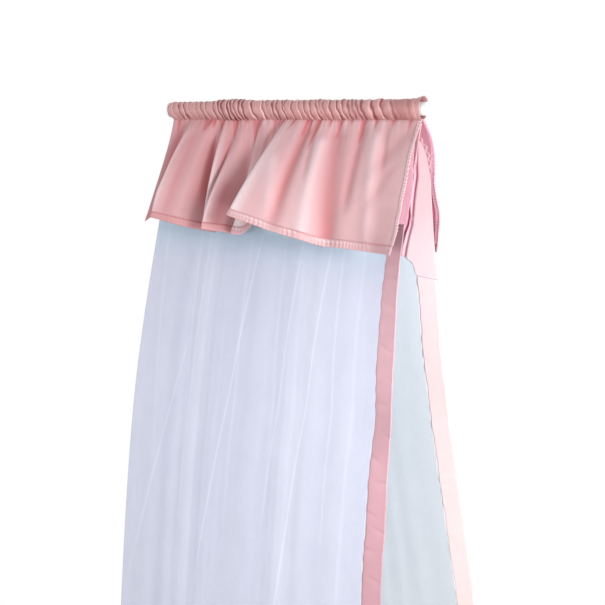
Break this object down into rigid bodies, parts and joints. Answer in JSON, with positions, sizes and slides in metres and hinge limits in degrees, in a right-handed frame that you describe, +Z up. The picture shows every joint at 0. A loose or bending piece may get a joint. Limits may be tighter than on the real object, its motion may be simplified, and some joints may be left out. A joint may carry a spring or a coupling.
{
  "type": "bed canopy",
  "caption": "Tent-like bed canopy: a short wall rod carries a gathered casing, a satin valance on each side and long net curtains with ribbon edges.",
  "frame": {"origin": "centre of the wall boss's back face, on the wall", "axes": "+X straight out from the wall along the rod, +Z up; the front valance and curtain are on the -Y side"},
  "size_m": [0.8035, 0.7059, 1.6193],
  "materials": {
    "zinc_steel": "bright zinc plate, turned",
    "white_paint": "smooth white powder coat",
    "white_plastic": "fine matt moulded",
    "pink_satin": "dusty pink satin, soft sheen, turned hems",
    "pink_reverse": "deeper pink reverse of the satin",
    "pale_net": "fine soft white net with a cool tint",
    "rosy_ribbon": "rose satin border, stitched",
    "pale_ribbon": "very pale pink satin border, stitched"
  },
  "bodies": {
    "root": {"wall_boss": "white_paint", "rod_tube": "white_paint", "grub_screw": "zinc_steel", "end_cap": "white_plastic", "rod_casing": "pink_satin", "valance_front": "pink_satin", "valance_back": "pink_reverse", "curtain_front": "pale_net", "curtain_back": "pale_net", "ribbon_front": "rosy_ribbon", "ribbon_back": "pale_ribbon"}
  },
  "joints": []
}
